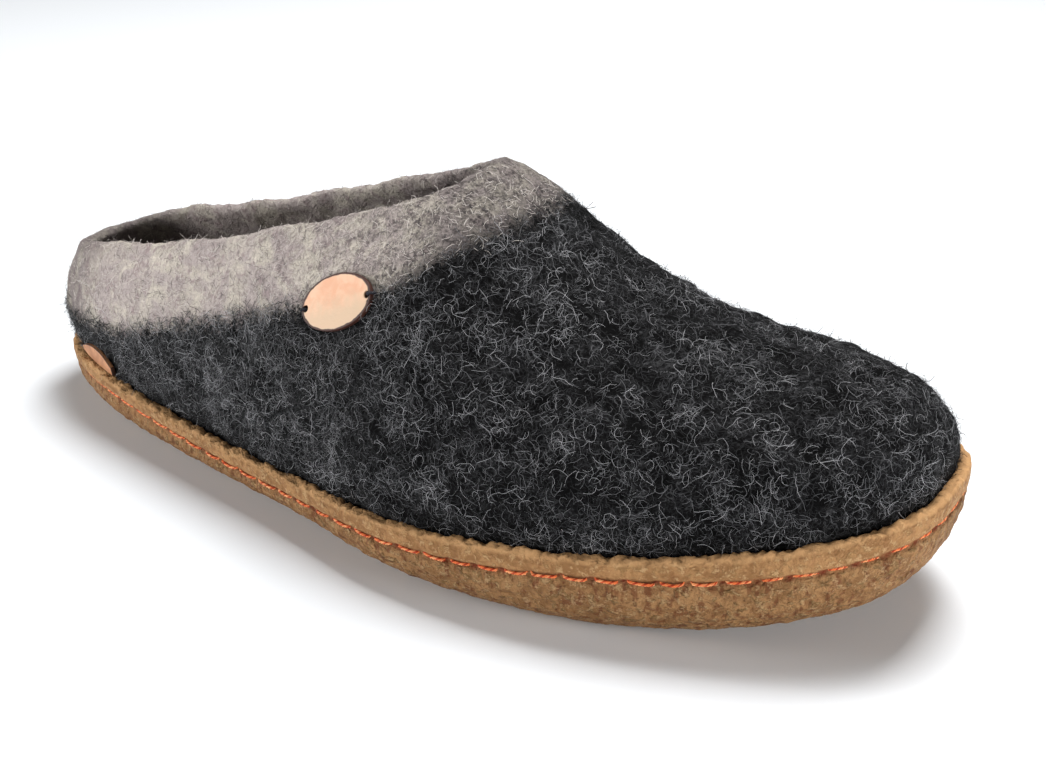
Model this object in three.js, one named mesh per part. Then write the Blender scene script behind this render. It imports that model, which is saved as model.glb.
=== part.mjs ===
// A right-foot felt slipper: toe to +X, inner side of the foot to +Y, sole on the plane Z = 0.
import * as THREE from 'three';
import { mergeVertices } from 'three/addons/utils/BufferGeometryUtils.js';

// Driving dimensions, in millimetres
const SOLE_LENGTH = 283;
const BALL_WIDTH = 102.5;
const SIDE_WALL = 15;
const TOE_SPRING = 13.3;
const TOE_DRIFT = 5.6;
const ARCH_RISE = 1;
const SOLE_TUCK = 10;
const RIM_WIDTH = 3.5;
const RIM_ROUND = 0.8;
const SEAT_THICKNESS = 5.5;
const GROOVE_DROP = 6;
const GROOVE_WIDTH = 2.6;
const GROOVE_DEPTH = 0.7;
const FELT_WALL = 4;
const INSTEP_HEIGHT = 98;
const TOE_BOX_HEIGHT = 62;
const HEEL_HEIGHT = 47.2;
const INSOLE_THICKNESS = 5;
const INSOLE_ROUND = 1;
const TAG_LENGTH = 25.2;
const TAG_WIDTH = 15;
const TAG_THICKNESS = 1.3;
const TAG_HOLE = 2;
const TAG_HOLE_MARGIN = 0.5;
const TAB_LENGTH = 22;
const TAB_HEIGHT = 5.8;
const TAB_THICKNESS = 1.3;
const TAB_DENT_DEPTH = 1.2;
const CLEARANCE = 0.3;

// Places along the shoe and up its walls, as shares from the heel and from the sole's edge
const SPRING_START = 0.7;
const ARCH = { start: 0.26, end: 0.6 };
const SPINE = { start: 0.13, end: 0.9 };
const RIDGE = { start: 0.119, end: 0.892 };
const TAG_PLACE = { along: 0.452, level: 0.647, tilt: THREE.MathUtils.degToRad(20.5) };
const TAB_PLACE = 0.0945;
const TAB_TAPER = 0.5;

// An end of the outline is an ellipse at 0.5 and squarer above that
const OUTLINE_POWER = 0.71;

// Half widths are shares of BALL_WIDTH, wall of SIDE_WALL, tuck of SOLE_TUCK and groove of GROOVE_DROP
const SOLE_SECTIONS = [
  { at: 0.00, outer: 0.382, inner: 0.435, wall: 1.08, tuck: 1.45, groove: 0.90 },
  { at: 0.10, outer: 0.429, inner: 0.415, wall: 1.20, tuck: 1.15, groove: 0.92 },
  { at: 0.25, outer: 0.445, inner: 0.390, wall: 1.10, tuck: 1.00, groove: 0.98 },
  { at: 0.40, outer: 0.490, inner: 0.373, wall: 1.04, tuck: 0.95, groove: 1.02 },
  { at: 0.55, outer: 0.575, inner: 0.396, wall: 1.26, tuck: 0.88, groove: 1.02 },
  { at: 0.70, outer: 0.598, inner: 0.464, wall: 1.54, tuck: 0.94, groove: 1.12 },
  { at: 0.85, outer: 0.565, inner: 0.530, wall: 1.68, tuck: 0.92, groove: 1.24 },
  { at: 1.00, outer: 0.520, inner: 0.550, wall: 1.72, tuck: 1.05, groove: 1.16 },
];

// How far the wall's face lies inside the outline, as a share of the tuck, from the floor up
const WALL_PROFILE = [
  { at: 0.00, inset: 1.00 },
  { at: 0.12, inset: 0.60 },
  { at: 0.30, inset: 0.27 },
  { at: 0.55, inset: 0.06 },
  { at: 0.75, inset: 0.01 },
  { at: 0.90, inset: 0.00 },
  { at: 1.00, inset: 0.00 },
];
const LEVELS_UNDER_GROOVE = [0, 0.08, 0.22, 0.45, 0.75];

// The last above the sole: the ridge runs from TOE_BOX_HEIGHT at 0 to INSTEP_HEIGHT at 1, its drift
// to the inner side is a share of BALL_WIDTH, the wall leans out by degrees at the sole, and low and
// high are how far it keeps its first and last direction, as shares of the way to the ridge
const LAST_SECTIONS = [
  { at: 0.00, ridge: 0.19, drift: 0.000, lean: 42, low: 0.34, high: 0.33 },
  { at: 0.04, ridge: 0.21, drift: 0.000, lean: 38, low: 0.35, high: 0.34 },
  { at: 0.10, ridge: 0.25, drift: 0.000, lean: 22, low: 0.36, high: 0.35 },
  { at: 0.25, ridge: 0.59, drift: 0.000, lean: 9, low: 0.34, high: 0.34 },
  { at: 0.40, ridge: 0.78, drift: 0.004, lean: 4, low: 0.35, high: 0.34 },
  { at: 0.55, ridge: 1.00, drift: 0.008, lean: 1, low: 0.34, high: 0.31 },
  { at: 0.70, ridge: 0.42, drift: 0.024, lean: 2, low: 0.37, high: 0.37 },
  { at: 0.85, ridge: 0.06, drift: 0.046, lean: 6, low: 0.46, high: 0.44 },
  { at: 1.00, ridge: 0.00, drift: 0.068, lean: 4, low: 0.41, high: 0.41 },
];

// The collar's edge seen from the side, from HEEL_HEIGHT at 0 to INSTEP_HEIGHT at 1
const COLLAR_LINE = [
  { at: 0.00, rise: 0.00 },
  { at: 0.10, rise: 0.16 },
  { at: 0.25, rise: 0.39 },
  { at: 0.38, rise: 0.64 },
  { at: 0.48, rise: 0.85 },
  { at: 0.56, rise: 1.08 },
];

// Fineness of the meshes
const COLLAR_RIBS = 22;
const VAMP_RIBS = 18;
const COLLAR_EASE = 0.8;
const END_EASE = 1.3;
const SKIN_ROWS = 12;
const SPINE_ROWS = 3;
const CUP_ROWS = 2;
const EDGE_ROWS = 3;
const TAG_FINENESS = 20;
const TAB_STEPS = { along: 14, up: 3 };
const SMALL_TURN = 1e-3;
const SMALL_SHARE = 1e-3;
const HALVINGS = 40;
const WELD = 1e-4;

const { clamp, degToRad, euclideanModulo, lerp } = THREE.MathUtils;

// The insole and the felt stand at this height over the underside
const insoleBase = SEAT_THICKNESS + CLEARANCE;

// The slope of a table's column at one of its rows, through the rows on both sides
function slopeAt(table, column, row) {
  const slope = (i) => (table[i + 1][column] - table[i][column]) / (table[i + 1].at - table[i].at);
  if (row === 0) return slope(0);
  if (row === table.length - 1) return slope(row - 1);
  const before = table[row].at - table[row - 1].at;
  const after = table[row + 1].at - table[row].at;
  return (slope(row - 1) * after + slope(row) * before) / (before + after);
}

// A table's column read smoothly between its rows
function read(table, column, at) {
  const place = clamp(at, table[0].at, table[table.length - 1].at);
  let row = 0;
  while (row < table.length - 2 && table[row + 1].at < place) row += 1;
  const span = table[row + 1].at - table[row].at;
  const q = (place - table[row].at) / span;
  const start = table[row][column];
  const end = table[row + 1][column];
  const leaving = slopeAt(table, column, row) * span;
  const arriving = slopeAt(table, column, row + 1) * span;
  const ends = start * (1 + 2 * q) * (1 - q) ** 2 + end * q * q * (3 - 2 * q);
  return ends + leaving * q * (1 - q) ** 2 - arriving * q * q * (1 - q);
}

// A turn round the shoe runs from -1 at the toe along the outer side to 0 at the heel, and on along
// the inner side to 1 at the toe. This is how far along the shoe it is, as a share from the heel
function shareAlong(turn) {
  return (1 - Math.cos(Math.PI * turn)) / 2;
}

function outline(anyTurn) {
  const turn = euclideanModulo(anyTurn + 1, 2) - 1;
  const along = shareAlong(turn);
  const side = turn < 0 ? 'outer' : 'inner';
  const roundness = Math.sin(Math.PI * Math.abs(turn)) ** OUTLINE_POWER;
  const half = Math.sign(turn) * BALL_WIDTH * read(SOLE_SECTIONS, side, along) * roundness;
  return new THREE.Vector3(SOLE_LENGTH * (along - 0.5), TOE_DRIFT * along ** 2 + half, 0);
}

// The underside's height above the floor: level under heel and ball, with a low arch and a toe spring
function underside(x) {
  const at = x / SOLE_LENGTH + 0.5;
  const past = Math.max(0, at - SPRING_START) / (1 - SPRING_START);
  const waist = clamp((at - ARCH.start) / (ARCH.end - ARCH.start), 0, 1);
  return TOE_SPRING * past ** 2 + ARCH_RISE * Math.sin(Math.PI * waist) ** 2;
}

// One place on the outline, with the cup sole's wall there
class Station {
  constructor(turn) {
    this.along = shareAlong(turn);
    this.edge = outline(turn);
    const before = outline(turn - SMALL_TURN);
    const after = outline(turn + SMALL_TURN);
    this.out = new THREE.Vector3(before.y - after.y, after.x - before.x, 0).normalize();
    this.wall = SIDE_WALL * read(SOLE_SECTIONS, 'wall', this.along);
    this.tuck = SOLE_TUCK * read(SOLE_SECTIONS, 'tuck', this.along);
    this.groove = this.wall - GROOVE_DROP * read(SOLE_SECTIONS, 'groove', this.along);
    this.shelf = Math.min(insoleBase + INSOLE_THICKNESS - INSOLE_ROUND, this.wall - RIM_ROUND);
  }

  // How far inside the outline the wall's outer face lies, at a height over the underside
  inset(height) {
    return this.tuck * read(WALL_PROFILE, 'inset', height / this.wall);
  }

  // The same for its inner face
  seat(height) {
    return RIM_WIDTH + this.inset(height);
  }

  point(inward, height) {
    const place = this.edge.clone().addScaledVector(this.out, -inward);
    return place.setZ(underside(place.x) + height);
  }

  // The point of the middle line that this place's rows run in to
  spine() {
    const inner = read(SOLE_SECTIONS, 'inner', this.along);
    const outer = read(SOLE_SECTIONS, 'outer', this.along);
    const x = SOLE_LENGTH * (lerp(SPINE.start, SPINE.end, this.along) - 0.5);
    return new THREE.Vector3(x, TOE_DRIFT * this.along ** 2 + BALL_WIDTH * (inner - outer) / 2, 0);
  }

  // A level row from a point in to the middle line, without its first point
  rowIn(start, height) {
    const end = this.spine();
    return Array.from({ length: SPINE_ROWS }, (_, i) => {
      const place = start.clone().lerp(end, (i + 1) / SPINE_ROWS);
      return place.setZ(underside(place.x) + height);
    });
  }
}

function ridgeHeight(along) {
  return lerp(TOE_BOX_HEIGHT, INSTEP_HEIGHT, read(LAST_SECTIONS, 'ridge', along));
}

function ridge(along) {
  const x = SOLE_LENGTH * (lerp(RIDGE.start, RIDGE.end, along) - 0.5);
  return new THREE.Vector3(x, BALL_WIDTH * read(LAST_SECTIONS, 'drift', along), ridgeHeight(along));
}

function ridgeSlope(along) {
  const before = ridge(Math.max(0, along - SMALL_SHARE));
  const after = ridge(Math.min(1, along + SMALL_SHARE));
  return (after.z - before.z) / (after.x - before.x);
}

// Where the felt is cut under the collar's rolled edge
function cutHeight(x) {
  const rise = read(COLLAR_LINE, 'rise', x / SOLE_LENGTH + 0.5);
  return lerp(HEEL_HEIGHT, INSTEP_HEIGHT, rise) - FELT_WALL / 2;
}

// The share between low and high where a falling function crosses zero
function crossing(low, high, excess) {
  let from = low;
  let to = high;
  for (let i = 0; i < HALVINGS; i += 1) {
    const middle = (from + to) / 2;
    if (excess(middle) > 0) from = middle;
    else to = middle;
  }
  return (from + to) / 2;
}

// The turn at which the two sides of the collar meet on the ridge
const THROAT = (() => {
  const along = crossing(0, 1, (share) => {
    const top = ridge(share);
    return top.z - cutHeight(top.x);
  });
  return Math.acos(1 - 2 * along) / Math.PI;
})();

// How far the felt gives way behind the heel tab, at a height up it from the sole's rim
function tabDent(turn, height) {
  const away = outline(turn).distanceTo(outline(outerTurn(TAB_PLACE)));
  const round = Math.cos(clamp(away / TAB_LENGTH, 0, 1) * Math.PI / 2) ** 2;
  return TAB_DENT_DEPTH * round * Math.sin(clamp(height / (2 * TAB_HEIGHT), 0, 1) * Math.PI) ** 2;
}

// One line up the last, from just over the sole's rim to the ridge
function lastCurve(turn) {
  const station = new Station(turn);
  const start = station.point(station.seat(station.wall) + CLEARANCE, station.wall + CLEARANCE);
  const end = ridge(station.along);
  const reach = start.distanceTo(end);
  const lean = degToRad(read(LAST_SECTIONS, 'lean', station.along));
  const rise = station.out.clone().multiplyScalar(Math.sin(lean)).setZ(Math.cos(lean));
  const inward = end.clone().sub(start).setZ(0).normalize();
  inward.setZ(inward.x * ridgeSlope(station.along)).normalize();
  const low = start.clone().addScaledVector(rise, reach * read(LAST_SECTIONS, 'low', station.along));
  const high = end.clone().addScaledVector(inward, -reach * read(LAST_SECTIONS, 'high', station.along));
  return new THREE.CubicBezierCurve3(start, low, high, end);
}

// A rib of the felt: the last's curve up to the collar's edge or the ridge, with the way out of it
class Rib extends Station {
  constructor(turn) {
    super(turn);
    this.turn = turn;
    this.curve = lastCurve(turn);
    this.before = lastCurve(turn - SMALL_TURN);
    this.after = lastCurve(turn + SMALL_TURN);
    this.cut = Math.abs(turn) < THROAT - SMALL_SHARE;
    this.collar = Math.abs(turn) < THROAT + SMALL_SHARE;
    this.top = this.cut ? this.cutShare() : 1;
  }

  cutShare() {
    return crossing(0, 1, (share) => {
      const place = this.curve.getPoint(share);
      return cutHeight(place.x) - place.z;
    });
  }

  normal(share) {
    if (share > 1 - SMALL_SHARE) return new THREE.Vector3(-ridgeSlope(this.along), 0, 1).normalize();
    const up = this.curve.getPoint(share + SMALL_SHARE).sub(this.curve.getPoint(share));
    const round = this.after.getPoint(share).sub(this.before.getPoint(share));
    return up.cross(round).normalize();
  }

  // A point off the felt's outer face by a distance, at a share of the way up to its edge
  off(level, distance) {
    const share = this.top * level;
    const dent = tabDent(this.turn, share * this.curve.getLength());
    return this.curve.getPoint(share).addScaledVector(this.normal(share), distance - dent);
  }

  // The half-round edge of the collar, from the outer face over to the inner one
  rolledEdge(upward) {
    const outer = this.off(1, 0);
    const inner = this.off(1, -FELT_WALL);
    const middle = outer.clone().lerp(inner, 0.5);
    const half = outer.clone().sub(middle);
    return Array.from({ length: EDGE_ROWS }, (_, i) => {
      const angle = Math.PI * (i + 1) / (EDGE_ROWS + 1);
      const place = middle.clone().addScaledVector(half, Math.cos(angle));
      return place.addScaledVector(upward, Math.sin(angle) * FELT_WALL / 2);
    });
  }
}

// The turn at a share of the length from the heel, on the outer side
function outerTurn(along) {
  return -Math.acos(1 - 2 * along) / Math.PI;
}

// The turns of all ribs, from the toe round the heel and back to the toe, closer together near the
// throat and where the outline bends at both ends
function ribTurns() {
  const side = [];
  for (let i = 0; i < COLLAR_RIBS; i += 1) {
    const share = (i / COLLAR_RIBS) ** END_EASE;
    side.push(THROAT * lerp(share, Math.sin(share * Math.PI / 2), COLLAR_EASE));
  }
  for (let i = VAMP_RIBS; i >= 0; i -= 1) side.push(lerp(1, THROAT, (i / VAMP_RIBS) ** END_EASE));
  const outer = side.slice(1).reverse().map((turn) => -turn);
  return [...outer, ...side.slice(0, -1)];
}

// A closed mesh from lines of points that stand side by side round the shoe. keep says which cells
// of the net are faces, and closed joins the last point of each line to its first
function skin(lines, closed, keep = () => true) {
  const rows = lines[0].length;
  const index = [];
  const cells = closed ? rows : rows - 1;
  lines.forEach((line, i) => {
    const next = (i + 1) % lines.length;
    for (let j = 0; j < cells; j += 1) {
      if (!keep(i, next, j)) continue;
      const above = (j + 1) % rows;
      const a = i * rows + j;
      const b = next * rows + j;
      const c = next * rows + above;
      const d = i * rows + above;
      const even = line[j].distanceTo(lines[next][above]) < lines[next][j].distanceTo(line[above]);
      index.push(...(even ? [a, c, b, a, d, c] : [a, d, b, b, d, c]));
    }
  });
  const loose = new THREE.BufferGeometry().setFromPoints(lines.flat()).setIndex(index);
  return withoutSlivers(mergeVertices(loose, WELD));
}

// Drops the faces that lost an edge when their corners were joined
function withoutSlivers(geometry) {
  const corners = Array.from(geometry.index.array);
  const kept = [];
  for (let i = 0; i < corners.length; i += 3) {
    const [a, b, c] = corners.slice(i, i + 3);
    if (a !== b && b !== c && c !== a) kept.push(a, b, c);
  }
  geometry.setIndex(kept);
  geometry.computeVertexNormals();
  return geometry;
}

function soleGeometry(turns) {
  const lines = turns.map((turn) => {
    const station = new Station(turn);
    const { wall, groove } = station;
    const foot = groove - GROOVE_WIDTH / 2;
    const head = groove + GROOVE_WIDTH / 2;
    const face = (height, extra = 0) => station.point(station.inset(height) + extra, height);
    const under = face(0);
    const seat = station.point(station.seat(SEAT_THICKNESS), SEAT_THICKNESS);
    return [
      ...station.rowIn(under, 0).reverse(),
      ...LEVELS_UNDER_GROOVE.map((level) => face(level * foot)),
      face(foot),
      face(groove - GROOVE_WIDTH / 4, GROOVE_DEPTH),
      face(groove + GROOVE_WIDTH / 4, GROOVE_DEPTH),
      face(head),
      face(wall - RIM_ROUND),
      station.point(RIM_ROUND, wall),
      station.point(RIM_WIDTH, wall),
      station.point(station.seat(station.shelf), station.shelf),
      seat,
      ...station.rowIn(seat, SEAT_THICKNESS),
    ];
  });
  return skin(lines, false);
}

function upperGeometry(turns) {
  const ribs = turns.map((turn) => new Rib(turn));
  const first = ribs.findIndex((rib) => rib.collar);
  const last = ribs.length - 1 - [...ribs].reverse().findIndex((rib) => rib.collar);
  const levels = Array.from({ length: SKIN_ROWS + 1 }, (_, i) => i / SKIN_ROWS);
  const lines = ribs.map((rib, i) => {
    // Along the collar's edge, across it within the felt is up
    const before = ribs[i === first ? last - 1 : Math.max(0, i - 1)];
    const after = ribs[i === last ? first + 1 : Math.min(ribs.length - 1, i + 1)];
    const along = after.off(1, 0).sub(before.off(1, 0));
    const upward = along.cross(rib.normal(rib.top)).normalize();
    const inCup = (extra) => Array.from({ length: CUP_ROWS }, (_, row) => {
      const height = lerp(insoleBase, rib.shelf, row / (CUP_ROWS - 1));
      return rib.point(rib.seat(height) + CLEARANCE + extra, height);
    });
    return [
      ...inCup(0),
      ...levels.map((level) => rib.off(level, 0)),
      ...rib.rolledEdge(upward),
      ...levels.map((level) => rib.off(level, -FELT_WALL)).reverse(),
      ...inCup(FELT_WALL).reverse(),
    ];
  });
  // Past the throat both faces close over the foot, and the rows of the rolled edge are left out
  const edgeStart = CUP_ROWS + SKIN_ROWS;
  const edgeEnd = edgeStart + EDGE_ROWS;
  const open = (i, next) => ribs[i].collar && ribs[next].collar && (ribs[i].cut || ribs[next].cut);
  const keep = (i, next, row) => row < edgeStart || row > edgeEnd || open(i, next);
  return skin(lines, true, keep);
}

function insoleGeometry(turns) {
  const high = insoleBase + INSOLE_THICKNESS;
  const lines = turns.map((turn) => {
    const station = new Station(turn);
    const side = (height) => station.seat(height) + FELT_WALL + 2 * CLEARANCE;
    const bottom = station.point(side(insoleBase), insoleBase);
    const top = station.point(side(station.shelf) + INSOLE_ROUND, high);
    return [
      ...station.rowIn(bottom, insoleBase).reverse(),
      bottom,
      station.point(side(station.shelf), station.shelf),
      top,
      ...station.rowIn(top, high),
    ];
  });
  return skin(lines, false);
}

function sideTagGeometry() {
  const shape = new THREE.Shape().absellipse(0, 0, TAG_LENGTH / 2, TAG_WIDTH / 2, 0, 2 * Math.PI, false, 0);
  const reach = TAG_LENGTH / 2 - TAG_HOLE_MARGIN - TAG_HOLE / 2;
  for (const x of [-reach, reach]) {
    shape.holes.push(new THREE.Path().absarc(x, 0, TAG_HOLE / 2, 0, 2 * Math.PI, true));
  }
  const options = { depth: TAG_THICKNESS, bevelEnabled: false, curveSegments: TAG_FINENESS };
  return new THREE.ExtrudeGeometry(shape, options);
}

// The tag lies flat on the felt of the outer side, where light and dark wool meet
function placeSideTag(tag) {
  const rib = new Rib(outerTurn(TAG_PLACE.along));
  const face = rib.normal(rib.top * TAG_PLACE.level);
  const forward = new THREE.Vector3(1, 0, 0).projectOnPlane(face).normalize();
  const upward = face.clone().cross(forward);
  tag.quaternion.setFromRotationMatrix(new THREE.Matrix4().makeBasis(forward, upward, face));
  tag.rotateZ(TAG_PLACE.tilt);
  tag.position.copy(rib.off(TAG_PLACE.level, CLEARANCE));
}

// A small label that stands on the rim of the sole and leans in on the heel's felt
function heelTabGeometry() {
  const { along, up } = TAB_STEPS;
  const geometry = new THREE.BoxGeometry(TAB_LENGTH, TAB_HEIGHT, TAB_THICKNESS, along, up, 1);
  const spots = geometry.attributes.position;
  const middle = outerTurn(TAB_PLACE);
  const speed = outline(middle + SMALL_TURN).distanceTo(outline(middle - SMALL_TURN)) / (2 * SMALL_TURN);
  for (let i = 0; i < spots.count; i += 1) {
    const rib = new Rib(middle - spots.getX(i) / speed);
    const foot = rib.point(RIM_WIDTH, rib.wall + CLEARANCE);
    const height = TAB_HEIGHT * (1 - TAB_TAPER * (2 * spots.getX(i) / TAB_LENGTH) ** 2);
    const head = rib.off(height / (rib.curve.getLength() * rib.top), CLEARANCE);
    const place = foot.lerp(head, spots.getY(i) / TAB_HEIGHT + 0.5);
    place.addScaledVector(rib.out, spots.getZ(i) + TAB_THICKNESS / 2);
    spots.setXYZ(i, place.x, place.y, place.z);
  }
  geometry.computeVertexNormals();
  return geometry;
}

function piece(name, geometry, color, roughness) {
  const material = new THREE.MeshStandardMaterial({ color, roughness, metalness: 0 });
  const mesh = new THREE.Mesh(geometry, material);
  mesh.name = name;
  return mesh;
}

function buildSlipper() {
  const turns = ribTurns();
  const tag = piece('side_tag', sideTagGeometry(), 0xe8b98c, 0.6);
  placeSideTag(tag);
  const slipper = new THREE.Group();
  slipper.add(
    piece('outsole', soleGeometry(turns), 0xaa7846, 0.75),
    piece('upper', upperGeometry(turns), 0x3c3c3e, 0.95),
    piece('insole', insoleGeometry(turns), 0x6e6a66, 0.95),
    tag,
    piece('heel_tab', heelTabGeometry(), 0xd9a878, 0.65),
  );
  return slipper;
}

// The frame's origin is under the middle of the whole slipper, on the floor
function centreOnFloor(group) {
  const box = new THREE.Box3().setFromObject(group);
  const middle = box.getCenter(new THREE.Vector3());
  group.position.set(-middle.x, -middle.y, -box.min.z);
  return group;
}

export default centreOnFloor(buildSlipper());
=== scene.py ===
"""Dresses a packed felt slipper: hairy wool felt, a crepe rubber sole, its stitches and leather trim."""

import logging
import math
from dataclasses import dataclass
from enum import Enum

import bmesh
import bpy
import numpy as np
from mathutils import Matrix, Vector, noise
from mathutils.bvhtree import BVHTree
from mathutils.kdtree import KDTree


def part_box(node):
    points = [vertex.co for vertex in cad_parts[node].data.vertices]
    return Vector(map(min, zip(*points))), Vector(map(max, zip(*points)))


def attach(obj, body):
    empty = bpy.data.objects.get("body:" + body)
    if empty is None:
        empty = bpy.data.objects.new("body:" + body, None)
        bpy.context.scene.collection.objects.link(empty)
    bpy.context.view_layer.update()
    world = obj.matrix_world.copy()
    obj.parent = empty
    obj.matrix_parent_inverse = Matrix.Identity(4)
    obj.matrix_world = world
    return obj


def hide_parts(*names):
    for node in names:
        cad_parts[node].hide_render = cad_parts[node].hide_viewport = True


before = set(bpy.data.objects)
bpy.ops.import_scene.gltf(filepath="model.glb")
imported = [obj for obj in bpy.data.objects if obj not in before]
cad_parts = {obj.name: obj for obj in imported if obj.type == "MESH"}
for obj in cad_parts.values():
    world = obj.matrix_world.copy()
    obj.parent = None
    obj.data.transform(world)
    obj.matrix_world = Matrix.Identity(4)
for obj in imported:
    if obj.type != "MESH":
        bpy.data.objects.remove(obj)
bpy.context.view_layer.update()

BODY = "root"
MM = 0.001
WELD = 1e-6
LOG = logging.getLogger("slipper")

Colour = tuple[float, float, float, float]


def screen(red: float, green: float, blue: float) -> Colour:
    """Turns a colour as a screen shows it, from 0 to 255, into a linear one.

    Args:
        red: The red channel.
        green: The green channel.
        blue: The blue channel.

    Returns:
        The linear colour with full alpha.
    """
    levels = [((value / 255 + 0.055) / 1.055) ** 2.4 for value in (red, green, blue)]
    return (*levels, 1.0)


def ramp(value: np.ndarray | float, low: float, high: float) -> np.ndarray | float:
    """Goes smoothly from 0 at low to 1 at high.

    Args:
        value: A number or an array of numbers.
        low: Where the ramp leaves 0.
        high: Where the ramp reaches 1.

    Returns:
        The ramp's height at each value.
    """
    share = np.clip((value - low) / (high - low), 0.0, 1.0)
    return share * share * (3 - 2 * share)


class Signal:
    """One output of a shader tree, used like a number in Python."""

    def __init__(self, tree: bpy.types.NodeTree, socket: bpy.types.NodeSocket) -> None:
        """Wraps a socket.

        Args:
            tree: The tree that holds it.
            socket: The output socket.
        """
        self.tree = tree
        self.socket = socket

    def _math(self, operation: str, *values: "Signal | float") -> "Signal":
        """Adds one Math node.

        Args:
            operation: The node's operation.
            values: What goes into its inputs, in order.

        Returns:
            The node's result.
        """
        node = self.tree.nodes.new("ShaderNodeMath")
        node.operation = operation
        for place, value in zip(node.inputs, values):
            if isinstance(value, Signal):
                self.tree.links.new(value.socket, place)
            else:
                place.default_value = value
        return Signal(self.tree, node.outputs[0])

    def __add__(self, other: "Signal | float") -> "Signal":
        """Adds."""
        return self._math("ADD", self, other)

    def __radd__(self, other: float) -> "Signal":
        """Adds from the left."""
        return self._math("ADD", other, self)

    def __sub__(self, other: "Signal | float") -> "Signal":
        """Subtracts."""
        return self._math("SUBTRACT", self, other)

    def __rsub__(self, other: float) -> "Signal":
        """Subtracts this from a number."""
        return self._math("SUBTRACT", other, self)

    def __mul__(self, other: "Signal | float") -> "Signal":
        """Multiplies."""
        return self._math("MULTIPLY", self, other)

    def __rmul__(self, other: float) -> "Signal":
        """Multiplies from the left."""
        return self._math("MULTIPLY", other, self)

    def __pow__(self, other: float) -> "Signal":
        """Raises to a power."""
        return self._math("POWER", self, other)


class Grain(Enum):
    """The kinds of noise that the finishes are made of."""

    SOFT = "FBM"
    FIBROUS = "RIDGED_MULTIFRACTAL"


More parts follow.
